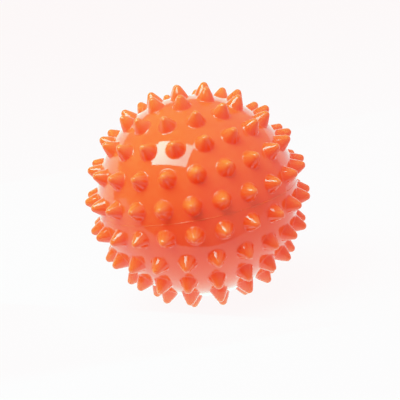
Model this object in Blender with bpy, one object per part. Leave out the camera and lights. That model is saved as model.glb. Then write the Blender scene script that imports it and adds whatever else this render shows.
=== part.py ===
"""Massage ball: a hollow, air-filled PVC ball with moulded spikes.

Two half shells, each moulded in one with its spikes, meet in a stepped joint at the equator, and a
thin weld closes it. The pole of the lower shell holds the blow-up valve: a sleeve and its plug.

Units are metres. The origin is the ball's centre, +Z runs up through the pole spike, and the seam
lies in the plane Z = 0. Turns about Z are counted in degrees from -Y towards +X.
"""

import math

import bmesh
import bpy
from mathutils import Vector

# Driving dimensions of the ball
BODY_RADIUS = 0.0400
WALL = 0.0028
GAP = 0.0003

# Spikes: rings of equal spacing from the seam to the pole
SPIKE_HEIGHT = 0.0050
SPIKE_BASE_RADIUS = 0.0037
SPIKE_TIP_RADIUS = 0.0015
SPIKE_ROOT = 0.0008
SPIKE_SIDES = 8
SPIKES_ROUND_EQUATOR = 22
RINGS_PER_HALF = 5
RING_STEP = 180.0 / (2 * RINGS_PER_HALF + 1)
UPPER_TURNS = (12.5, 1.8, 11.6, 12.2, 1.7)
LOWER_TURNS = (10.8, 4.2, 2.5, 2.8, 9.0)

# Stepped joint at the seam: a tongue on the lower shell stands inside the upper shell
RIM_HALF_GAP = 0.0005
WELD_HALF_HEIGHT = 0.0002
WELD_PROUD = 0.0003
STEP_RADIUS = BODY_RADIUS - 0.0013
TONGUE_HEIGHT = 0.0022

# Blow-up valve in the lower pole
VALVE_FACE = 0.0398
SLEEVE_RADIUS = 0.0046
SLEEVE_LENGTH = 0.0098
SLEEVE_BORE_RADIUS = 0.0023
FLANGE_RADIUS = 0.0062
FLANGE_THICKNESS = 0.0012
BOSS_RADIUS = 0.0075
HEAD_RADIUS = 0.0036
HEAD_THICKNESS = 0.0011
PIN_RADIUS = 0.0020
PIN_LENGTH = 0.0080
PIN_TIP_RADIUS = 0.0011

# Facets
SHELL_STEPS = 44
SHELL_ARC_STEPS = 11
INNER_ARC_STEPS = 6
VALVE_STEPS = 32

# Colours
CORAL = (0.94, 0.09, 0.02, 1.0)
WELD_CORAL = (0.95, 0.14, 0.04, 1.0)
VALVE_CORAL = (0.88, 0.08, 0.02, 1.0)
PLUG_CORAL = (0.92, 0.13, 0.05, 1.0)


def clear_scene():
    """Remove every object that the file opened with."""
    for item in list(bpy.data.objects):
        bpy.data.objects.remove(item, do_unlink=True)


def pvc(name, colour, roughness):
    """Soft moulded PVC: a non-metal with its own colour and gloss."""
    material = bpy.data.materials.new(name)
    material.use_nodes = True
    shader = material.node_tree.nodes["Principled BSDF"]
    shader.inputs["Base Color"].default_value = colour
    shader.inputs["Roughness"].default_value = roughness
    shader.inputs["Metallic"].default_value = 0.0
    return material


def add_object(name, form, material=None, parent=None):
    """Turn a finished bmesh into a named object."""
    mesh = bpy.data.meshes.new(name)
    form.to_mesh(mesh)
    form.free()
    mesh.shade_smooth()
    mesh.set_sharp_from_angle(angle=math.radians(30))
    item = bpy.data.objects.new(name, mesh)
    bpy.context.collection.objects.link(item)
    if material:
        mesh.materials.append(material)
    item.parent = parent
    return item


def turned(profile, steps):
    """Spin a closed outline of (radius, height) points about Z into a solid."""
    form = bmesh.new()
    points = [form.verts.new((radius, 0.0, height)) for radius, height in profile]
    pairs = zip(points, points[1:] + points[:1])
    edges = [form.edges.new(pair) for pair in pairs if not on_axis(*pair)]
    bmesh.ops.spin(form, geom=points + edges, axis=(0, 0, 1), cent=(0, 0, 0),
                   angle=math.tau, steps=steps, use_duplicate=False)
    bmesh.ops.remove_doubles(form, verts=form.verts, dist=1e-6)
    bmesh.ops.recalc_face_normals(form, faces=form.faces)
    return form


def on_axis(start, end):
    """Tell whether an edge of an outline runs along the spin axis."""
    return max(start.co.x, end.co.x) < 1e-9


def arc(radius, start, end, steps):
    """Points (radius, height) on a circle about the centre, between two latitudes in degrees."""
    angles = [math.radians(start + (end - start) * i / steps) for i in range(steps + 1)]
    return [(radius * max(math.cos(a), 0.0), radius * math.sin(a)) for a in angles]


def latitude_at_height(radius, height):
    """Latitude in degrees at which a sphere reaches a height."""
    return math.degrees(math.asin(height / radius))


def latitude_at_radius(radius, distance):
    """Latitude in degrees at which a sphere is a distance from its axis."""
    return math.degrees(math.acos(distance / radius))


def spike_directions(turns, side, pole_spike):
    """Unit vectors to the spikes of one half, ring by ring from the seam to the pole."""
    directions = []
    for ring, turn in enumerate(turns):
        latitude = math.radians(RING_STEP * (ring + 0.5))
        count = round(SPIKES_ROUND_EQUATOR * math.cos(latitude))
        for i in range(count):
            angle = math.radians(turn + 360.0 * i / count - 90.0)
            directions.append(Vector((math.cos(latitude) * math.cos(angle),
                                      math.cos(latitude) * math.sin(angle),
                                      side * math.sin(latitude))))
    if pole_spike:
        directions.append(Vector((0.0, 0.0, side)))
    return directions


def add_spike(form, direction):
    """Add one closed spike: a cone with a blunt, domed tip, its root sunk into the shell."""
    shoulder = SPIKE_HEIGHT - 0.5 * SPIKE_TIP_RADIUS
    depth = SPIKE_ROOT + shoulder
    place = direction.to_track_quat("Z", "Y").to_matrix().to_4x4()
    place.translation = direction * (BODY_RADIUS - SPIKE_ROOT + 0.5 * depth)
    cone = bmesh.ops.create_cone(form, segments=SPIKE_SIDES, cap_ends=True, depth=depth,
                                 radius1=SPIKE_BASE_RADIUS, radius2=SPIKE_TIP_RADIUS, matrix=place)
    faces = {face for vert in cone["verts"] for face in vert.link_faces}
    tip = max(faces, key=lambda face: face.calc_center_median().dot(direction))
    bmesh.ops.poke(form, faces=[tip], offset=SPIKE_HEIGHT - shoulder)


def fuse_spikes(shell, directions, centre):
    """Union a shell with its ring of spikes."""
    form = bmesh.new()
    for direction in directions:
        add_spike(form, direction)
    bmesh.ops.recalc_face_normals(form, faces=form.faces)
    spikes = add_object(shell.name + "_spikes", form, parent=centre)
    spikes.hide_render = True
    spikes.display_type = "WIRE"
    fuse = shell.modifiers.new("spikes", "BOOLEAN")
    fuse.operation = "UNION"
    fuse.solver = "EXACT"
    fuse.object = spikes


def make_upper_shell(centre):
    """Upper half shell, with a rebate inside its rim for the lower shell's tongue."""
    inner = BODY_RADIUS - WALL
    rebate_top = TONGUE_HEIGHT + GAP
    rim = latitude_at_height(BODY_RADIUS, RIM_HALF_GAP)
    outline = arc(BODY_RADIUS, 90.0, rim, SHELL_ARC_STEPS)
    outline += [(STEP_RADIUS, RIM_HALF_GAP), (STEP_RADIUS, rebate_top)]
    outline += arc(inner, latitude_at_height(inner, rebate_top), 90.0, INNER_ARC_STEPS)
    coral = pvc("upper_shell_pvc", CORAL, 0.15)
    shell = add_object("upper_shell", turned(outline, SHELL_STEPS), coral, centre)
    fuse_spikes(shell, spike_directions(UPPER_TURNS, 1.0, True), centre)


def make_lower_shell(centre):
    """Lower half shell, with a tongue inside its rim and the valve boss in its pole."""
    inner = BODY_RADIUS - WALL
    hole = SLEEVE_RADIUS + GAP
    boss_top = -(VALVE_FACE - SLEEVE_LENGTH + FLANGE_THICKNESS + GAP)
    tongue = STEP_RADIUS - GAP
    rim = -latitude_at_height(BODY_RADIUS, RIM_HALF_GAP)
    outline = [(inner, TONGUE_HEIGHT), (tongue, TONGUE_HEIGHT), (tongue, -RIM_HALF_GAP)]
    outline += arc(BODY_RADIUS, rim, -latitude_at_radius(BODY_RADIUS, hole), SHELL_ARC_STEPS)
    outline += [(hole, boss_top), (BOSS_RADIUS, boss_top)]
    outline += arc(inner, -latitude_at_radius(inner, BOSS_RADIUS), 0.0, INNER_ARC_STEPS)
    coral = pvc("lower_shell_pvc", CORAL, 0.15)
    shell = add_object("lower_shell", turned(outline, SHELL_STEPS), coral, centre)
    fuse_spikes(shell, spike_directions(LOWER_TURNS, -1.0, False), centre)


def make_seam_weld(centre):
    """Weld between the two rims, standing a little proud as a bead."""
    bead = BODY_RADIUS + WELD_PROUD
    outline = [(STEP_RADIUS, WELD_HALF_HEIGHT), (BODY_RADIUS, WELD_HALF_HEIGHT), (bead, 0.0),
               (BODY_RADIUS, -WELD_HALF_HEIGHT), (STEP_RADIUS, -WELD_HALF_HEIGHT)]
    coral = pvc("seam_weld_pvc", WELD_CORAL, 0.2)
    add_object("seam_weld", turned(outline, SHELL_STEPS), coral, centre)


def make_valve_insert(centre):
    """Valve sleeve, set into the boss from inside and held by its flange."""
    face = -VALVE_FACE
    top = face + SLEEVE_LENGTH
    recess_floor = face + HEAD_THICKNESS + GAP
    recess_radius = HEAD_RADIUS + GAP
    flange_bottom = top - FLANGE_THICKNESS
    outline = [(SLEEVE_BORE_RADIUS, top), (FLANGE_RADIUS, top), (FLANGE_RADIUS, flange_bottom),
               (SLEEVE_RADIUS, flange_bottom), (SLEEVE_RADIUS, face), (recess_radius, face),
               (recess_radius, recess_floor), (SLEEVE_BORE_RADIUS, recess_floor)]
    coral = pvc("valve_insert_pvc", VALVE_CORAL, 0.4)
    add_object("valve_insert", turned(outline, VALVE_STEPS), coral, centre)


def make_valve_plug(centre):
    """Nail-shaped plug: a flat head and a pin that narrows at its end. It slides out along -Z."""
    slide_axis = bpy.data.objects.new("valve_axis", None)
    slide_axis.location = (0.0, 0.0, -VALVE_FACE)
    slide_axis.parent = centre
    bpy.context.collection.objects.link(slide_axis)
    pin_end = HEAD_THICKNESS + PIN_LENGTH
    taper_start = pin_end - PIN_TIP_RADIUS
    outline = [(0.0, pin_end), (PIN_TIP_RADIUS, pin_end), (PIN_RADIUS, taper_start),
               (PIN_RADIUS, HEAD_THICKNESS), (HEAD_RADIUS, HEAD_THICKNESS),
               (HEAD_RADIUS, 0.0), (0.0, 0.0)]
    coral = pvc("valve_plug_pvc", PLUG_CORAL, 0.35)
    add_object("valve_plug", turned(outline, VALVE_STEPS), coral, slide_axis)


def main():
    clear_scene()
    centre = bpy.data.objects.new("ball_centre", None)
    bpy.context.collection.objects.link(centre)
    make_upper_shell(centre)
    make_lower_shell(centre)
    make_seam_weld(centre)
    make_valve_insert(centre)
    make_valve_plug(centre)


main()
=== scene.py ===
"""Massage ball: a hollow soft PVC ball with moulded spikes, a welded seam and a blow-up valve.

Lengths are metres, the origin is the ball's centre, +Z runs up through the pole spike and the seam
lies in the plane Z = 0. Turns about Z are counted from -Y towards +X.
"""

import math

import bmesh
import bpy
import numpy as np
from mathutils import Matrix, Vector


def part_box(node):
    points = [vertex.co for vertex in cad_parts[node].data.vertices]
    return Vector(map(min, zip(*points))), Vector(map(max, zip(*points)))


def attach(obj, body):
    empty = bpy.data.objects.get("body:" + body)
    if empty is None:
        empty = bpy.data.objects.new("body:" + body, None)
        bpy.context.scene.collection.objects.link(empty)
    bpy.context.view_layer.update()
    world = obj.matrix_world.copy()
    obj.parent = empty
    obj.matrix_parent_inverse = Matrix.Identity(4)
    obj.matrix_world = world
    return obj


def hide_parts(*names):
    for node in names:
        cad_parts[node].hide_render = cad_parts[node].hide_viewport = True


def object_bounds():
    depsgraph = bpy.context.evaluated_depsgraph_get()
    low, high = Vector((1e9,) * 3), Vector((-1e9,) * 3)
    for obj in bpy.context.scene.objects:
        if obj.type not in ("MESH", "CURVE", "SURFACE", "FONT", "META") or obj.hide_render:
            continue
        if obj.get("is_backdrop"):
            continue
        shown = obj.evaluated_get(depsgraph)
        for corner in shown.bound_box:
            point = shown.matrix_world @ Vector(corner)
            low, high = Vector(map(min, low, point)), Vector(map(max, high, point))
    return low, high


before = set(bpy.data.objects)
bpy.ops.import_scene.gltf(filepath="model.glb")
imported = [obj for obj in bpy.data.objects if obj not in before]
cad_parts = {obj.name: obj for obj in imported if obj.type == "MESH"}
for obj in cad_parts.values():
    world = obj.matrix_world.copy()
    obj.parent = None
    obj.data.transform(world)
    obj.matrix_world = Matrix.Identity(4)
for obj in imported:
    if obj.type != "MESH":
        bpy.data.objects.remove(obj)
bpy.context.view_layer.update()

bl_info = {
    "name": "Massage Ball",
    "version": (1, 0, 0),
    "blender": (4, 5, 0),
    "location": "3D View > Sidebar > Massage Ball",
    "description": "Builds a spiky PVC massage ball round its fixed frame",
    "category": "Add Mesh",
}

BALL = "ball"
PLUG = "plug"
MILLIMETRE = 0.001

# Layout of the moulded spikes, as on the frame
SPIKES_ROUND_EQUATOR = 22
RINGS_PER_HALF = 5
RING_STEP = 180.0 / (2 * RINGS_PER_HALF + 1)
UPPER_TURNS = (12.5, 1.8, 11.6, 12.2, 1.7)
LOWER_TURNS = (10.8, 4.2, 2.5, 2.8, 9.0)

# Sizes read from the frame
TIP_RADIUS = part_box("upper_shell")[1][2]
TONGUE_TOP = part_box("lower_shell")[1][2]
VALVE_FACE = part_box("valve_insert")[0][2]
SLEEVE_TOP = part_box("valve_insert")[1][2]
FLANGE_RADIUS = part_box("valve_insert")[1][0]
HEAD_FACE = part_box("valve_plug")[0][2]
PIN_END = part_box("valve_plug")[1][2]
HEAD_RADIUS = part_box("valve_plug")[1][0]

# Fineness of the surfaces
CELL_EDGE = 0.8 * MILLIMETRE
DOME_STEPS = 7
FLANK_STEPS = 6
FILLET_STEPS = 5
SPHERE_STEPS = 5
LINING_STEPS = 132
LINING_ARC_STEPS = 24
BEAD_STEPS = 900
BEAD_SECTION_STEPS = 14
VALVE_STEPS = 128
CORNER_STEPS = 5
SAME_POINT = 2e-6
SHARP_EDGE = math.radians(38)

# How many of the nearest spikes can border on a spike's cell
NEIGHBOURS = 14

# Details of the seam's bead, as shares of its height and half width
THIN_BEAD = 0.22
BEAD_SWELL = 0.28
BEAD_TUFT = 0.50
BEAD_ROOT = 0.4
BEAD_SWAY = 0.25

# The bead's two waves: times round, how far the phase sways, how often it sways, and two phases
SWELL_WAVE = (7, 1.9, 3, 2.8, 2.4)
TUFT_WAVE = (31, 2.6, 5, 4.9, 3.3)

# Details of the plug: shares of its pin's and its head's radius, and two lengths
PIN_TAPER = 0.55
GROOVE_OUTER = 0.72
GROOVE_INNER = 0.50
GROOVE_DEPTH = 0.25 * MILLIMETRE
RIB_LENGTH = 0.5 * MILLIMETRE

# How fine the patterns in the PVC are, in cells per metre, and how deep its relief is
CLOUD_SCALE = 85.0
SHINE_SCALE = 140.0
RIPPLE_SCALE = 120.0
RIPPLE_DEPTH = 0.12 * MILLIMETRE
GRAIN_SCALE = 1500.0
GRAIN_DEPTH = 0.003 * MILLIMETRE
RELIEF_STRENGTH = 0.5

# The soft box: angle off the camera's line, clock angle, distance, size, and the direction of its
# long side along the camera's right, up and back. It is brightest at its left end.
KEY_OFF_AXIS = 56.0
KEY_CLOCK = 122.8
KEY_DISTANCE = 0.6
KEY_SIZE = (0.419, 0.284)
KEY_SIDE = (0.78, 0.085, 0.62)
KEY_SHIFT = 0.016
KEY_BRIGHT_END = (-0.216, 0.0)
KEY_FADE_REACH = 0.45
KEY_FADE = 0.56

# Backdrop and table: centre along the camera's right, up and back, size, brightest point in the
# card's own plane, how far the glow fades from it, and the glow there and beyond
BACKDROP = ((-0.15, 0.04, -0.30), (1.5, 0.48), (0.0, 0.0), 0.5, 1.0, 0.85)
TABLE = ((-0.15, -0.047, -0.1275), (1.5, 0.355), (0.155, -0.108), 0.11, 1.45, 0.7)

# Large soft lights without a reflection: name, angle off the camera's line, clock angle and glow
WASH_DISTANCE = 0.6
WASH_SIZE = (0.60, 0.50)
WASHES = (
    ("wash_key", 60.0, 122.0, 5.0),
    ("wash_top", 85.0, 95.0, 3.5),
    ("wash_side", 85.0, 165.0, 3.7),
)

# The room's own light: the side it comes from, as off-axis and clock angle, and its two levels
ROOM_SIDE = (80.0, 10.0)
ROOM_DIM = 0.25
ROOM_BRIGHT = 0.8

# Tone curve of the picture, for red alone: it bends over as the light grows, so that bright coral
# keeps its hue. It is a setting of the display and no property of the PVC, so the materials and the
# exported model don't hold it. The points are (light, shown). Green and blue are shown as they come.
BRIGHTEST_RED = 4.0
RED_CURVE = ((0.25, 0.25), (0.50, 0.50), (0.70, 0.70), (0.85, 0.79), (1.05, 0.835), (1.40, 0.88),
             (2.00, 0.93), (2.80, 0.965))

# White paper: its share of the light that it throws back, and its own glow, which is mostly red
# and which the red curve turns nearly white
PAPER_TONE = (0.018, 0.018, 0.018)
PAPER_GLOW = (1.0, 0.298, 0.298)
PAPER_STRENGTH = 3.1
PAPER_SIZE = 12.0

# The camera's place beside its line to the centre, so that the ball stands a little off the middle
CAMERA_RIGHT = 0.00084
CAMERA_UP = -0.0020


# ---------------------------------------------------------------- settings

class BallSizes(bpy.types.PropertyGroup):
    """Sizes of the shells, the spikes and the seam."""

    body_radius: bpy.props.FloatProperty(
        name="Body radius", description="Radius of the ball between its spikes",
        default=0.0400, unit="LENGTH")
    wall: bpy.props.FloatProperty(
        name="Wall", description="Thickness of the moulded wall", default=0.0028, unit="LENGTH")
    spike_base_radius: bpy.props.FloatProperty(
        name="Spike base radius", description="Radius at which a spike's flank would meet the body",
        default=0.0036, unit="LENGTH")
    spike_tip_radius: bpy.props.FloatProperty(
        name="Spike tip radius", description="Radius of the dome on a spike's end",
        default=0.00165, unit="LENGTH")
    spike_bulge: bpy.props.FloatProperty(
        name="Spike bulge", description="How far a spike's flank swells out of a straight line",
        default=0.00010, unit="LENGTH")
    spike_fillet: bpy.props.FloatProperty(
        name="Spike fillet", description="Radius of the hollow curve at a spike's foot",
        default=0.0008, unit="LENGTH")
    step_depth: bpy.props.FloatProperty(
        name="Step depth", description="How deep under the surface the joint's step lies",
        default=0.0013, unit="LENGTH")
    joint_gap: bpy.props.FloatProperty(
        name="Joint gap", description="Gap between the two shells all along their stepped joint",
        default=0.0001, unit="LENGTH")
    bead_height: bpy.props.FloatProperty(
        name="Bead height", description="How far the seam's bead stands proud where it is fullest",
        default=0.00022, unit="LENGTH")
    bead_half_width: bpy.props.FloatProperty(
        name="Bead half width", description="Half the width of the seam's bead",
        default=0.00022, unit="LENGTH")


class ValveSizes(bpy.types.PropertyGroup):
    """Sizes of the valve's sleeve and plug."""

    sleeve_radius: bpy.props.FloatProperty(
        name="Sleeve radius", description="Outer radius of the sleeve", default=0.0046, unit="LENGTH")
    bore_radius: bpy.props.FloatProperty(
        name="Bore radius", description="Radius of the sleeve's bore", default=0.0023, unit="LENGTH")
    boss_radius: bpy.props.FloatProperty(
        name="Boss radius", description="Radius of the thick boss that holds the sleeve",
        default=0.0075, unit="LENGTH")
    flange_thickness: bpy.props.FloatProperty(
        name="Flange thickness", description="Thickness of the sleeve's inner flange",
        default=0.0012, unit="LENGTH")
    head_thickness: bpy.props.FloatProperty(
        name="Head thickness", description="Thickness of the plug's head", default=0.0011, unit="LENGTH")
    pin_radius: bpy.props.FloatProperty(
        name="Pin radius", description="Radius of the plug's pin", default=0.0020, unit="LENGTH")
    clearance: bpy.props.FloatProperty(
        name="Clearance", description="Gap round the sleeve and round the plug's head",
        default=0.0002, unit="LENGTH")
    edge_radius: bpy.props.FloatProperty(
        name="Edge radius", description="Rounding of the moulded edges", default=0.00025, unit="LENGTH")


class BallColours(bpy.types.PropertyGroup):
    """Colours of the PVC."""

    shell: bpy.props.FloatVectorProperty(
        name="Shell", description="Coral orange of the moulded shells", subtype="COLOR",
        size=3, min=0.0, max=1.0, default=(0.94, 0.078, 0.0145))
    shell_deep: bpy.props.FloatVectorProperty(
        name="Shell, deep", description="Redder coral where the pigment is dense", subtype="COLOR",
        size=3, min=0.0, max=1.0, default=(0.88, 0.060, 0.0130))
    # Pale coral. On the shells it is painted light: their colour turns to it from the body out to the
    # spikes' ends, in place of the key light on the spikes' flanks. On the seam's bead it is a paler tone
    # at random.
    pale_shell_and_spike_light: bpy.props.FloatVectorProperty(
        name="Shell, spikes", description="Paler orange of the spikes' solid ends", subtype="COLOR",
        size=3, min=0.0, max=1.0, default=(0.97, 0.108, 0.0190))
    valve: bpy.props.FloatVectorProperty(
        name="Valve", description="Coral of the valve's sleeve", subtype="COLOR",
        size=3, min=0.0, max=1.0, default=(0.88, 0.065, 0.018))
    plug: bpy.props.FloatVectorProperty(
        name="Plug", description="Paler coral of the valve's plug", subtype="COLOR",
        size=3, min=0.0, max=1.0, default=(0.92, 0.12, 0.04))


class StageSettings(bpy.types.PropertyGroup):
    """Camera, floor and light."""

    elevation: bpy.props.FloatProperty(
        name="Elevation", description="Camera's height above the seam plane",
        default=math.radians(13.8), unit="ROTATION")
    roll: bpy.props.FloatProperty(
        name="Roll", description="How far the pole leans to the left",
        default=math.radians(10.8), unit="ROTATION")
    distance: bpy.props.FloatProperty(
        name="Distance", description="Camera's distance from the ball's centre",
        default=0.63, unit="LENGTH")
    lens: bpy.props.FloatProperty(
        name="Lens", description="Camera's focal length in millimetres", default=142.3)
    key: bpy.props.FloatProperty(
        name="Key light", description="Glow of the soft box at its brighter end", default=12.8)
    surround: bpy.props.FloatProperty(
        name="Surround", description="Glow of the white backdrop and table", default=1.6)


def sizes():
    return bpy.context.scene.ball_sizes


def valve_sizes():
    return bpy.context.scene.ball_valve


def colours():
    return bpy.context.scene.ball_colours


def stage_settings():
    return bpy.context.scene.ball_stage


# ---------------------------------------------------------------- mesh helpers

def unit(vectors):
    """Vectors along the last axis, scaled to length one."""
    return vectors / np.linalg.norm(vectors, axis=-1, keepdims=True)


def welded_form(points, quads):
    """A bmesh of points and quads, with coincident points made one."""
    mesh = bpy.data.meshes.new("form")
    mesh.from_pydata(points.tolist(), [], quads.tolist())
    form = bmesh.new()
    form.from_mesh(mesh)
    bpy.data.meshes.remove(mesh)
    bmesh.ops.remove_doubles(form, verts=form.verts, dist=SAME_POINT)
    return form


def open_edges(form, keep=lambda middle: True):
    """Edges with only one face, whose middle passes a test."""
    return [edge for edge in form.edges
            if len(edge.link_faces) == 1 and keep((edge.verts[0].co + edge.verts[1].co) / 2)]


def finish_piece(name, form, material, node, body):
    """Turn a closed form into a piece that stands for a node of the frame and rides on its body."""
    if open_edges(form):
        raise RuntimeError(f"{name} has {len(open_edges(form))} open edges")
    bmesh.ops.recalc_face_normals(form, faces=form.faces)
    mesh = bpy.data.meshes.new(name)
    form.to_mesh(mesh)
    form.free()
    mesh.shade_smooth()
    mesh.set_sharp_from_angle(angle=SHARP_EDGE)
    mesh.materials.append(material)
    piece = bpy.data.objects.new(name, mesh)
    bpy.context.scene.collection.objects.link(piece)
    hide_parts(node)
    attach(piece, body)
    return piece


def grid_quads(rows, columns):
    """Quads of a grid of points stored row by row, with the last row joined to the first."""
    row = np.arange(rows)[:, None] * columns
    after = np.roll(row, -1, axis=0)
    column = np.arange(columns - 1)[None, :]
    quads = np.stack([row + column, row + column + 1, after + column + 1, after + column], axis=-1)
    return quads.reshape(-1, 4)


def turned(profile, steps):
    """Carry a profile of (radius, height) points once round the Z axis.

    The point for angle a and profile point (r, h) is (r cos a, r sin a, h).
    """
    profile = np.asarray(profile, float)
    angle = np.linspace(0, math.tau, steps, endpoint=False)[:, None]
    radius, height = profile[:, 0], profile[:, 1]
    points = np.stack([np.cos(angle) * radius, np.sin(angle) * radius,
                       np.broadcast_to(height, (steps, len(profile)))], axis=-1)
    return points.reshape(-1, 3), grid_quads(steps, len(profile))


def arc(centre, radius, start, end, steps):
    """Points on a circle in the (radius, height) plane, between two angles in radians."""
    angle = np.linspace(start, end, steps + 1)
    return np.stack([centre[0] + radius * np.cos(angle), centre[1] + radius * np.sin(angle)], axis=1)


def rounded(outline, radius):
    """A closed outline with each corner replaced by a short curve that touches both of its sides.

    The curve is a parabola that leaves one side and joins the other at the same distance from the
    corner. The outline is closed by repeating its first point.
    """
    corner = np.asarray(outline, float)
    before, after = np.roll(corner, 1, axis=0) - corner, np.roll(corner, -1, axis=0) - corner
    lengths = np.stack([np.linalg.norm(before, axis=1), np.linalg.norm(after, axis=1)])
    cut = np.minimum(radius, 0.45 * lengths.min(axis=0))[:, None]
    start, end = corner + cut * unit(before), corner + cut * unit(after)
    share = np.linspace(0, 1, CORNER_STEPS)[None, :, None]
    curve = ((1 - share) ** 2 * start[:, None] + 2 * share * (1 - share) * corner[:, None]
             + share ** 2 * end[:, None]).reshape(-1, 2)
    return np.concatenate([curve, curve[:1]])


# ---------------------------------------------------------------- spikes

def spike_directions(turns, side):
    """Unit vectors from the centre to the spikes of one half, ring by ring, the pole last."""
    rings = []
    for ring, turn in enumerate(turns):
        latitude = math.radians(RING_STEP * (ring + 0.5))
        count = round(SPIKES_ROUND_EQUATOR * math.cos(latitude))
        angle = math.radians(turn - 90.0) + np.arange(count) * math.tau / count
        rings.append(np.stack([math.cos(latitude) * np.cos(angle), math.cos(latitude) * np.sin(angle),
                               np.full(count, side * math.sin(latitude))], axis=1))
    rings.append(np.array([[0.0, 0.0, side]]))
    return np.concatenate(rings)


def cell_corners(centre, others):
    """Corners of the cell of points nearer to one centre than to the others, in order round it.

    In the plane that touches the sphere at the centre, each neighbour's half-way great circle is a
    straight line. The corners are the crossings of two lines that no third line cuts off.
    """
    helper = np.array([0.0, 0.0, 1.0]) if abs(centre[2]) < 0.9 else np.array([1.0, 0.0, 0.0])
    across = unit(np.cross(helper, centre))
    along = np.cross(centre, across)
    near = others[np.argsort(-(others @ centre))[:NEIGHBOURS]]
    slope = np.stack([near @ across, near @ along], axis=1)
    reach = 1.0 - near @ centre
    first, second = np.triu_indices(len(near), 1)
    cross = slope[first, 0] * slope[second, 1] - slope[first, 1] * slope[second, 0]
    cross = np.where(np.abs(cross) < 1e-12, 1e-12, cross)
    x = (reach[first] * slope[second, 1] - reach[second] * slope[first, 1]) / cross
    y = (slope[first, 0] * reach[second] - slope[second, 0] * reach[first]) / cross
    inside = (slope @ np.stack([x, y]) <= reach[:, None] + 1e-9).all(axis=0)
    x, y = x[inside], y[inside]
    order = np.argsort(np.arctan2(y, x))
    corners = unit(centre + x[order, None] * across + y[order, None] * along)
    apart = np.linalg.norm(corners - np.roll(corners, 1, axis=0), axis=1) > 1e-6
    return corners[apart]


def cell_border(centre, others, spacing):
    """Points round a cell's border, each side split evenly so that two cells share its points."""
    corners = cell_corners(centre, others)
    border = []
    for start, end in zip(corners, np.roll(corners, -1, axis=0)):
        steps = max(1, round(math.acos(min(1.0, float(start @ end))) / spacing))
        share = np.arange(steps)[:, None] / steps
        border.append(unit((1.0 - share) * start + share * end))
    return np.concatenate(border)


def spike_profile(size):
    """Outline of a spike from its tip down to its foot on the body, as (radius, height) points.

    A dome of the tip radius, a flank that touches it and swells a little in its middle, and a
    hollow fillet that touches both the flank and the sphere of the body.
    """
    body, tip, foot = size.body_radius, size.spike_tip_radius, size.spike_fillet
    dome_height = TIP_RADIUS - tip
    reach = dome_height - body
    lean = math.atan2(reach, size.spike_base_radius)
    lean += math.asin(tip / math.hypot(reach, size.spike_base_radius))
    outward = np.array([math.sin(lean), math.cos(lean)])
    upward = np.array([-math.cos(lean), math.sin(lean)])
    # The fillet's centre is its radius off the flank's line and its radius off the sphere
    base = np.array([size.spike_base_radius, body]) + foot * outward
    half = float(base @ upward)
    spread = math.sqrt(half * half - float(base @ base) + (body + foot) ** 2)
    centre = base + min(spread - half, -spread - half, key=abs) * upward
    flank_angle = math.atan2(outward[1], outward[0])
    dome = arc((0.0, dome_height), tip, math.pi / 2, flank_angle, DOME_STEPS)
    toe = math.atan2(-centre[1], -centre[0])
    fillet = arc(centre, foot, flank_angle - math.pi, toe, FILLET_STEPS)
    share = np.linspace(0, 1, FLANK_STEPS + 1)[1:-1, None]
    flank = dome[-1] + (fillet[0] - dome[-1]) * share
    flank += size.spike_bulge * np.sin(math.pi * share) ** 2 * outward
    return np.concatenate([dome, flank, fillet])


def spiky_surface(centres, others, size, hole=None):
    """Outer surface of one half: in every cell, a fan of rays from the spike's tip to the border.

    A point lies at radius r and height h of the spike's profile: h along the spike's own direction
    and r along the ray. Past the spike's foot, the ray follows the sphere to the cell's border.
    The last centre, at the pole, has an open hole of the given radius in place of its spike.
    """
    body = size.body_radius
    outline = spike_profile(size)
    foot_angle = math.atan2(outline[-1, 0], outline[-1, 1])
    share = np.linspace(0, 1, SPHERE_STEPS + 1)
    points, quads, offset = [], [], 0
    for index, centre in enumerate(centres):
        rest = np.concatenate([np.delete(centres, index, axis=0), others])
        border = cell_border(centre, rest, CELL_EDGE / body)
        ray = unit(border - (border @ centre)[:, None] * centre)
        reach = np.arccos(np.clip(border @ centre, -1, 1))[:, None]
        if hole and index == len(centres) - 1:
            start = math.asin(hole / body)
            angle = start + (reach - start) * np.linspace(0, 1, 2 * SPHERE_STEPS)
            radius, height = body * np.sin(angle), body * np.cos(angle)
        else:
            angle = foot_angle + (reach - foot_angle) * share[1:]
            spike = np.broadcast_to(outline, (len(ray), *outline.shape))
            radius = np.concatenate([spike[..., 0], body * np.sin(angle)], axis=1)
            height = np.concatenate([spike[..., 1], body * np.cos(angle)], axis=1)
        fan = radius[..., None] * ray[:, None, :] + height[..., None] * centre
        points.append(fan.reshape(-1, 3))
        quads.append(grid_quads(*radius.shape) + offset)
        offset += radius.size
    return np.concatenate(points), np.concatenate(quads)


def half_shell(turns, side, lining, size, hole=None):
    """A closed half shell: its spiky outer surface, bridged to the turned lining of its inside."""
    centres = spike_directions(turns, side)
    mirrored = centres[:SPIKES_ROUND_EQUATOR] * (1, 1, -1)
    outer, outer_quads = spiky_surface(centres, mirrored, size, hole)
    on_seam = np.abs(outer[:, 2]) < 1e-6
    outer[on_seam, 2] = side * 0.5 * size.joint_gap
    inner, inner_quads = turned(lining, LINING_STEPS)
    form = welded_form(np.concatenate([outer, inner]),
                       np.concatenate([outer_quads, inner_quads + len(outer)]))
    bmesh.ops.bridge_loops(form, edges=open_edges(form, lambda middle: abs(middle.z) < size.joint_gap))
    if hole:
        bmesh.ops.bridge_loops(form, edges=open_edges(form))
    return form


def wave(angle, count, sway, slow, phase, turn):
    """A wave from 0 to 1, count times round: a sine whose phase sways with a slower sine."""
    return 0.5 + 0.5 * np.sin(count * angle + sway * np.sin(slow * angle + phase) + turn)


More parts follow.
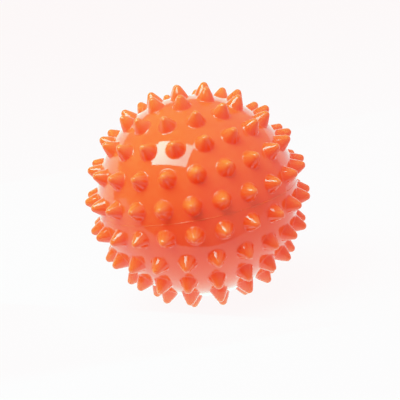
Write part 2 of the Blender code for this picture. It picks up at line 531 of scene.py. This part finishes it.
def seam_bead(size):
    """The weld's bead: a ring that rises, thins out and wanders a little on its way round.

    The section is half an ellipse above the shells' surface and half a shallow one below it. Its
    height is a fine line with long swells, and with short tufts of flash where a fast wave comes
    near its top.
    """
    around = np.linspace(0, math.tau, BEAD_STEPS, endpoint=False)[:, None]
    section = np.linspace(0, math.tau, BEAD_SECTION_STEPS + 1)[None, :]
    swell = wave(around, *SWELL_WAVE)
    tuft = wave(around, *TUFT_WAVE) ** 6
    height = size.bead_height * (THIN_BEAD + BEAD_SWELL * swell + BEAD_TUFT * tuft * swell)
    width = size.bead_half_width * (0.7 + 0.3 * swell + 0.25 * tuft)
    sway = BEAD_SWAY * size.bead_half_width * np.sin(11 * around + 1.5 * np.sin(4 * around))
    depth = np.where(np.sin(section) > 0, height, BEAD_ROOT * size.bead_half_width)
    radius = size.body_radius + depth * np.sin(section)
    level = sway + width * np.cos(section)
    points = np.stack([radius * np.cos(around), radius * np.sin(around), level], axis=-1)
    return welded_form(points.reshape(-1, 3), grid_quads(BEAD_STEPS, BEAD_SECTION_STEPS + 1))


# ---------------------------------------------------------------- materials

def noise(nodes, links, place, scale, detail):
    """Cloud noise on the piece's own coordinates."""
    cloud = nodes.new("ShaderNodeTexNoise")
    cloud.inputs["Scale"].default_value = scale
    cloud.inputs["Detail"].default_value = detail
    links.new(place, cloud.inputs["Vector"])
    return cloud.outputs["Fac"]


def ranged(nodes, links, value, start, end, low, high):
    """A value stretched smoothly from one range to another."""
    stretch = nodes.new("ShaderNodeMapRange")
    stretch.interpolation_type = "SMOOTHSTEP"
    for name, number in (("From Min", start), ("From Max", end), ("To Min", low), ("To Max", high)):
        stretch.inputs[name].default_value = number
    links.new(value, stretch.inputs["Value"])
    return stretch.outputs["Result"]


def mixed(nodes, links, share, first, second):
    """Two colours mixed by a share. Each is a socket or a plain colour."""
    mix = nodes.new("ShaderNodeMix")
    mix.data_type = "RGBA"
    links.new(share, mix.inputs["Factor"])
    for socket, colour in ((mix.inputs["A"], first), (mix.inputs["B"], second)):
        if isinstance(colour, bpy.types.NodeSocket):
            links.new(colour, socket)
        else:
            socket.default_value = (*colour, 1.0)
    return mix.outputs["Result"]


def bumped(nodes, links, height, distance, normal=None):
    """A bump from a height, laid over another bump if one is given."""
    bump = nodes.new("ShaderNodeBump")
    bump.inputs["Distance"].default_value = distance
    bump.inputs["Strength"].default_value = RELIEF_STRENGTH
    links.new(height, bump.inputs["Height"])
    if normal:
        links.new(normal, bump.inputs["Normal"])
    return bump.outputs["Normal"]


def pvc(name, plain, deep, gloss, spread, painted_spike_light=None):
    """Soft moulded PVC: clouds of denser pigment, light that sinks in, a gloss that varies a
    little, the soft ripple of a cooled moulding and a fine grain. With a colour of painted spike
    light, the material turns to it from the body's surface out to the spikes' ends. This is painted
    light that stands in for the key light on the spikes' flanks.
    """
    material = bpy.data.materials.new(name)
    material.use_nodes = True
    nodes, links = material.node_tree.nodes, material.node_tree.links
    shader = nodes["Principled BSDF"]
    place = nodes.new("ShaderNodeTexCoord").outputs["Object"]
    cloud = noise(nodes, links, place, CLOUD_SCALE, 4.0)
    cloud = ranged(nodes, links, cloud, 0.42, 0.70, 0.0, 0.55)
    colour = mixed(nodes, links, cloud, plain, deep)
    # Painted light: paler towards the spikes' ends, in place of the key light on their flanks
    if painted_spike_light:
        distance = nodes.new("ShaderNodeVectorMath")
        distance.operation = "LENGTH"
        links.new(place, distance.inputs[0])
        share = ranged(nodes, links, distance.outputs["Value"],
                       sizes().body_radius, TIP_RADIUS, 0.0, 1.0)
        colour = mixed(nodes, links, share, colour, painted_spike_light)
    links.new(colour, shader.inputs["Base Color"])
    shine = noise(nodes, links, place, SHINE_SCALE, 3.0)
    shine = ranged(nodes, links, shine, 0.35, 0.75, gloss, gloss + spread)
    links.new(shine, shader.inputs["Roughness"])
    shader.inputs["IOR"].default_value = 1.54
    shader.inputs["Subsurface Weight"].default_value = 0.30
    shader.inputs["Subsurface Radius"].default_value = (1.0, 0.30, 0.15)
    shader.inputs["Subsurface Scale"].default_value = 1.6 * MILLIMETRE
    ripple = bumped(nodes, links, noise(nodes, links, place, RIPPLE_SCALE, 1.0), RIPPLE_DEPTH)
    grain = bumped(nodes, links, noise(nodes, links, place, GRAIN_SCALE, 1.0), GRAIN_DEPTH, ripple)
    links.new(grain, shader.inputs["Normal"])
    return material


def shell_pvc():
    """The shells' PVC, made once and shared by both half shells. It holds painted light: the
    spikes turn paler towards their ends.
    """
    made = bpy.data.materials.get("shell_moulded")
    return made or pvc("shell_moulded", colours().shell, colours().shell_deep,
                       gloss=0.03, spread=0.03, painted_spike_light=colours().pale_shell_and_spike_light)


# ---------------------------------------------------------------- operators

class BALL_OT_upper_shell(bpy.types.Operator):
    """Build the upper half shell: spikes outside, and a rebate inside its rim"""
    bl_idname = "ball.upper_shell"
    bl_label = "Upper half shell"

    def execute(self, context):
        size = sizes()
        inner = size.body_radius - size.wall
        step = size.body_radius - size.step_depth
        rim, rebate = 0.5 * size.joint_gap, TONGUE_TOP + size.joint_gap
        lining = np.concatenate([[(step, rim), (step, rebate)],
                                 arc((0, 0), inner, math.asin(rebate / inner), math.pi / 2,
                                     LINING_ARC_STEPS)])
        form = half_shell(UPPER_TURNS, 1.0, lining, size)
        finish_piece("upper_shell_skin", form, shell_pvc(), "upper_shell", BALL)
        return {"FINISHED"}


class BALL_OT_lower_shell(bpy.types.Operator):
    """Build the lower half shell: spikes outside, a tongue inside its rim and the valve's boss"""
    bl_idname = "ball.lower_shell"
    bl_label = "Lower half shell"

    def execute(self, context):
        size, valve = sizes(), valve_sizes()
        inner = size.body_radius - size.wall
        tongue = size.body_radius - size.step_depth - size.joint_gap
        rim = -0.5 * size.joint_gap
        hole = valve.sleeve_radius + valve.clearance
        boss_top = SLEEVE_TOP - valve.flange_thickness - valve.clearance
        boss_foot = -math.acos(valve.boss_radius / inner)
        outer_rim = -math.sqrt(size.body_radius ** 2 - hole ** 2)
        lining = np.concatenate([
            [(tongue, rim), (tongue, TONGUE_TOP), (inner, TONGUE_TOP)],
            arc((0, 0), inner, 0.0, boss_foot, LINING_ARC_STEPS),
            [(valve.boss_radius, boss_top), (hole, boss_top), (hole, outer_rim + valve.edge_radius)]])
        form = half_shell(LOWER_TURNS, -1.0, lining, size, hole + valve.edge_radius)
        finish_piece("lower_shell_skin", form, shell_pvc(), "lower_shell", BALL)
        return {"FINISHED"}


class BALL_OT_seam(bpy.types.Operator):
    """Build the welded bead with its uneven flash round the seam"""
    bl_idname = "ball.seam"
    bl_label = "Seam bead"

    def execute(self, context):
        # The bead's mottle mixes the shell's coral with the pale coral at random
        material = pvc("weld_moulded", colours().shell, colours().pale_shell_and_spike_light, gloss=0.16, spread=0.14)
        finish_piece("seam_bead", seam_bead(sizes()), material, "seam_weld", BALL)
        return {"FINISHED"}


class BALL_OT_valve_insert(bpy.types.Operator):
    """Build the valve's sleeve with its flange and the recess for the plug's head"""
    bl_idname = "ball.valve_insert"
    bl_label = "Valve sleeve"

    def execute(self, context):
        valve = valve_sizes()
        flange_foot = SLEEVE_TOP - valve.flange_thickness
        recess = HEAD_RADIUS + valve.clearance
        recess_floor = VALVE_FACE + valve.head_thickness + valve.clearance
        outline = [(valve.bore_radius, SLEEVE_TOP), (FLANGE_RADIUS, SLEEVE_TOP),
                   (FLANGE_RADIUS, flange_foot), (valve.sleeve_radius, flange_foot),
                   (valve.sleeve_radius, VALVE_FACE), (recess, VALVE_FACE),
                   (recess, recess_floor), (valve.bore_radius, recess_floor)]
        form = welded_form(*turned(rounded(outline, valve.edge_radius), VALVE_STEPS))
        material = pvc("valve_moulded", colours().valve, colours().shell_deep, gloss=0.28, spread=0.15)
        finish_piece("valve_sleeve", form, material, "valve_insert", BALL)
        return {"FINISHED"}


class BALL_OT_valve_plug(bpy.types.Operator):
    """Build the pull-out plug: a head with a finger groove, and a ribbed, tapered pin"""
    bl_idname = "ball.valve_plug"
    bl_label = "Valve plug"

    def execute(self, context):
        valve = valve_sizes()
        pin, head_top = valve.pin_radius, HEAD_FACE + valve.head_thickness
        rib = 0.5 * (pin + valve.bore_radius)
        rib_foot = 0.5 * (head_top + PIN_END)
        groove_outer, groove_inner = GROOVE_OUTER * HEAD_RADIUS, GROOVE_INNER * HEAD_RADIUS
        groove_floor = HEAD_FACE + GROOVE_DEPTH
        outline = [(0.0, PIN_END), (PIN_TAPER * pin, PIN_END), (pin, PIN_END - PIN_TAPER * pin),
                   (pin, rib_foot + RIB_LENGTH), (rib, rib_foot + 0.5 * RIB_LENGTH), (pin, rib_foot),
                   (pin, head_top), (HEAD_RADIUS, head_top), (HEAD_RADIUS, HEAD_FACE),
                   (groove_outer, HEAD_FACE), (groove_outer, groove_floor),
                   (groove_inner, groove_floor), (groove_inner, HEAD_FACE), (0.0, HEAD_FACE)]
        profile = rounded(outline, 0.6 * valve.edge_radius)
        profile = profile[profile[:, 0] > 1e-7]
        profile = np.concatenate([[(0.0, PIN_END)], profile[:-1], [(0.0, HEAD_FACE)]])
        form = welded_form(*turned(profile, VALVE_STEPS))
        material = pvc("plug_moulded", colours().plug, colours().valve, gloss=0.25, spread=0.15)
        finish_piece("valve_plug_fine", form, material, "valve_plug", PLUG)
        return {"FINISHED"}


def camera_axes(settings):
    """The camera's right, up and back directions, for its elevation and roll."""
    back = Vector((0.0, -math.cos(settings.elevation), math.sin(settings.elevation)))
    right = Vector((1.0, 0.0, 0.0))
    up = back.cross(right)
    cosine, sine = math.cos(settings.roll), math.sin(settings.roll)
    return cosine * right - sine * up, sine * right + cosine * up, back


def direction(axes, off_axis, clock):
    """Direction at an angle off the line to the camera, turned anticlockwise from the right."""
    off_axis, clock = math.radians(off_axis), math.radians(clock)
    right, up, back = axes
    outward = math.cos(clock) * right + math.sin(clock) * up
    return math.sin(off_axis) * outward + math.cos(off_axis) * back


def along(axes, amounts):
    """A vector of so much of the camera's right, up and back."""
    right, up, back = axes
    return amounts[0] * right + amounts[1] * up + amounts[2] * back


def placed(item, centre, side, facing):
    """Put an object at a point, with its X axis along one direction and its Z axis along another."""
    side = (side - side.dot(facing) * facing).normalized()
    turn = Matrix((side, facing.cross(side), facing)).transposed().to_4x4()
    turn.translation = centre
    item.matrix_world = turn
    bpy.context.scene.collection.objects.link(item)
    return item


def seen_by(item, rays):
    """Let only the named kinds of ray meet an object."""
    for ray in ("camera", "diffuse", "glossy", "transmission", "volume_scatter", "shadow"):
        setattr(item, "visible_" + ray, ray in rays)


def glow_material(name, point, reach, near, far):
    """White light that is strongest at one point of a card and fades with the distance from it."""
    material = bpy.data.materials.new(name)
    material.use_nodes = True
    nodes, links = material.node_tree.nodes, material.node_tree.links
    nodes.clear()
    distance = nodes.new("ShaderNodeVectorMath")
    distance.operation = "DISTANCE"
    distance.inputs[1].default_value = (*point, 0.0)
    links.new(nodes.new("ShaderNodeTexCoord").outputs["Object"], distance.inputs[0])
    glow = nodes.new("ShaderNodeEmission")
    strength = ranged(nodes, links, distance.outputs["Value"], 0.0, reach, near, far)
    links.new(strength, glow.inputs["Strength"])
    links.new(glow.outputs["Emission"], nodes.new("ShaderNodeOutputMaterial").inputs["Surface"])
    return material


def flat_mesh(name, width, height, material):
    """A flat rectangle centred on its own origin."""
    x, y = 0.5 * width, 0.5 * height
    mesh = bpy.data.meshes.new(name)
    mesh.from_pydata([(-x, -y, 0), (x, -y, 0), (x, y, 0), (-x, y, 0)], [], [(0, 1, 2, 3)])
    mesh.materials.append(material)
    return bpy.data.objects.new(name, mesh)


def add_card(name, centre, side, facing, size, *glow):
    """A glowing white card that lights the ball and shows in its gloss, out of the camera's sight."""
    card = flat_mesh(name, *size, glow_material(name, *glow))
    seen_by(placed(card, centre, side, facing), ("diffuse", "glossy"))
    card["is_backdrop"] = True


def add_wash(name, towards, side, distance, size, radiance):
    """A large soft light without a reflection. Its power is pi times area times radiance."""
    data = bpy.data.lights.new(name, "AREA")
    data.shape = "RECTANGLE"
    data.size, data.size_y = size
    data.energy = math.pi * size[0] * size[1] * radiance
    light = placed(bpy.data.objects.new(name, data), distance * towards, side, towards)
    light.visible_glossy = False
    light.visible_camera = False


def add_floor(height):
    """White paper under the ball, seen from above only, so that the valve shows from below.

    Only the camera meets it, and the table card lights the ball in its place. The red curve shows
    red as full only where there is much of it, so the paper's own glow holds more red.
    """
    paper = bpy.data.materials.new("floor_paper")
    paper.use_nodes = True
    nodes, links = paper.node_tree.nodes, paper.node_tree.links
    shader, output = nodes["Principled BSDF"], nodes["Material Output"]
    shader.inputs["Base Color"].default_value = (*PAPER_TONE, 1.0)
    shader.inputs["Roughness"].default_value = 1.0
    shader.inputs["Specular IOR Level"].default_value = 0.0
    shader.inputs["Emission Color"].default_value = (*PAPER_GLOW, 1.0)
    shader.inputs["Emission Strength"].default_value = PAPER_STRENGTH
    sides = nodes.new("ShaderNodeMixShader")
    links.new(nodes.new("ShaderNodeNewGeometry").outputs["Backfacing"], sides.inputs["Fac"])
    links.new(shader.outputs["BSDF"], sides.inputs[1])
    links.new(nodes.new("ShaderNodeBsdfTransparent").outputs["BSDF"], sides.inputs[2])
    links.new(sides.outputs["Shader"], output.inputs["Surface"])
    floor = flat_mesh("floor", PAPER_SIZE, PAPER_SIZE, paper)
    seen_by(placed(floor, Vector((0, 0, height)), Vector((1, 0, 0)), Vector((0, 0, 1))), ("camera",))
    floor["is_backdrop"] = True


def add_world(towards, dim, bright):
    """A dim room that is brighter towards one side, behind a far wall of the floor's white."""
    world = bpy.data.worlds.new("studio")
    world.use_nodes = True
    nodes, links = world.node_tree.nodes, world.node_tree.links
    dot = nodes.new("ShaderNodeVectorMath")
    dot.operation = "DOT_PRODUCT"
    dot.inputs[1].default_value = towards
    links.new(nodes.new("ShaderNodeTexCoord").outputs["Generated"], dot.inputs[0])
    room, wall, output = nodes["Background"], nodes.new("ShaderNodeBackground"), nodes["World Output"]
    links.new(ranged(nodes, links, dot.outputs["Value"], -0.4, 0.8, dim, bright), room.inputs["Strength"])
    room.inputs["Color"].default_value = (1.0, 1.0, 1.0, 1.0)
    wall.inputs["Color"].default_value = (*PAPER_GLOW, 1.0)
    wall.inputs["Strength"].default_value = PAPER_STRENGTH
    seen = nodes.new("ShaderNodeMixShader")
    links.new(nodes.new("ShaderNodeLightPath").outputs["Is Camera Ray"], seen.inputs["Fac"])
    links.new(room.outputs["Background"], seen.inputs[1])
    links.new(wall.outputs["Background"], seen.inputs[2])
    links.new(seen.outputs["Shader"], output.inputs["Surface"])
    bpy.context.scene.world = world


def set_red_curve():
    """Set the picture's tone curve for red. It changes how the render is shown, not the model."""
    view = bpy.context.scene.view_settings
    view.view_transform = "Standard"
    view.use_curve_mapping = True
    mapping = view.curve_mapping
    mapping.white_level = (BRIGHTEST_RED, 1.0, 1.0)
    for light, shown in RED_CURVE:
        mapping.curves[0].points.new(light / BRIGHTEST_RED, shown)
    mapping.update()


class BALL_OT_stage(bpy.types.Operator):
    """Set up the pale floor, the soft light, the tone curve for red and the camera"""
    bl_idname = "ball.stage"
    bl_label = "Stage"

    def execute(self, context):
        settings = stage_settings()
        axes = camera_axes(settings)
        right, up, back = axes
        add_floor(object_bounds()[0][2])
        key, key_side = direction(axes, KEY_OFF_AXIS, KEY_CLOCK), along(axes, KEY_SIDE)
        add_card("key", KEY_DISTANCE * key + KEY_SHIFT * key_side, key_side, key, KEY_SIZE,
                 KEY_BRIGHT_END, KEY_FADE_REACH, settings.key, KEY_FADE * settings.key)
        for name, facing, card in (("backdrop", back, BACKDROP), ("table", up, TABLE)):
            centre, size, point, reach, near, far = card
            add_card(name, along(axes, centre), right, facing, size,
                     point, reach, near * settings.surround, far * settings.surround)
        for name, off_axis, clock, radiance in WASHES:
            wash = direction(axes, off_axis, clock)
            add_wash(name, wash, back.cross(wash), WASH_DISTANCE, WASH_SIZE, radiance)
        add_world(direction(axes, *ROOM_SIDE), ROOM_DIM, ROOM_BRIGHT)
        set_red_curve()
        data = bpy.data.cameras.new("camera")
        data.lens = settings.lens
        data.sensor_width = 36.0
        data.clip_start = 0.01
        centre = along(axes, (CAMERA_RIGHT, CAMERA_UP, settings.distance))
        context.scene.camera = placed(bpy.data.objects.new("camera", data), centre, right, back)
        return {"FINISHED"}


class BALL_PT_panel(bpy.types.Panel):
    """Sidebar panel that lists the ball's pieces"""
    bl_label = "Massage Ball"
    bl_idname = "BALL_PT_panel"
    bl_space_type = "VIEW_3D"
    bl_region_type = "UI"
    bl_category = "Massage Ball"

    def draw(self, context):
        for operator in PIECE_OPERATORS:
            self.layout.operator(operator.bl_idname)


PIECE_OPERATORS = (BALL_OT_upper_shell, BALL_OT_lower_shell, BALL_OT_seam, BALL_OT_valve_insert,
                   BALL_OT_valve_plug, BALL_OT_stage)
SETTINGS = {"ball_sizes": BallSizes, "ball_valve": ValveSizes, "ball_colours": BallColours,
            "ball_stage": StageSettings}
CLASSES = (*SETTINGS.values(), *PIECE_OPERATORS, BALL_PT_panel)


def register():
    for cls in CLASSES:
        bpy.utils.register_class(cls)
    for name, group in SETTINGS.items():
        setattr(bpy.types.Scene, name, bpy.props.PointerProperty(type=group))


def unregister():
    for name in SETTINGS:
        delattr(bpy.types.Scene, name)
    for cls in reversed(CLASSES):
        bpy.utils.unregister_class(cls)


def main():
    register()
    bpy.ops.ball.upper_shell()
    bpy.ops.ball.lower_shell()
    bpy.ops.ball.seam()
    bpy.ops.ball.valve_insert()
    bpy.ops.ball.valve_plug()
    bpy.ops.ball.stage()


if __name__ == "__main__":
    main()
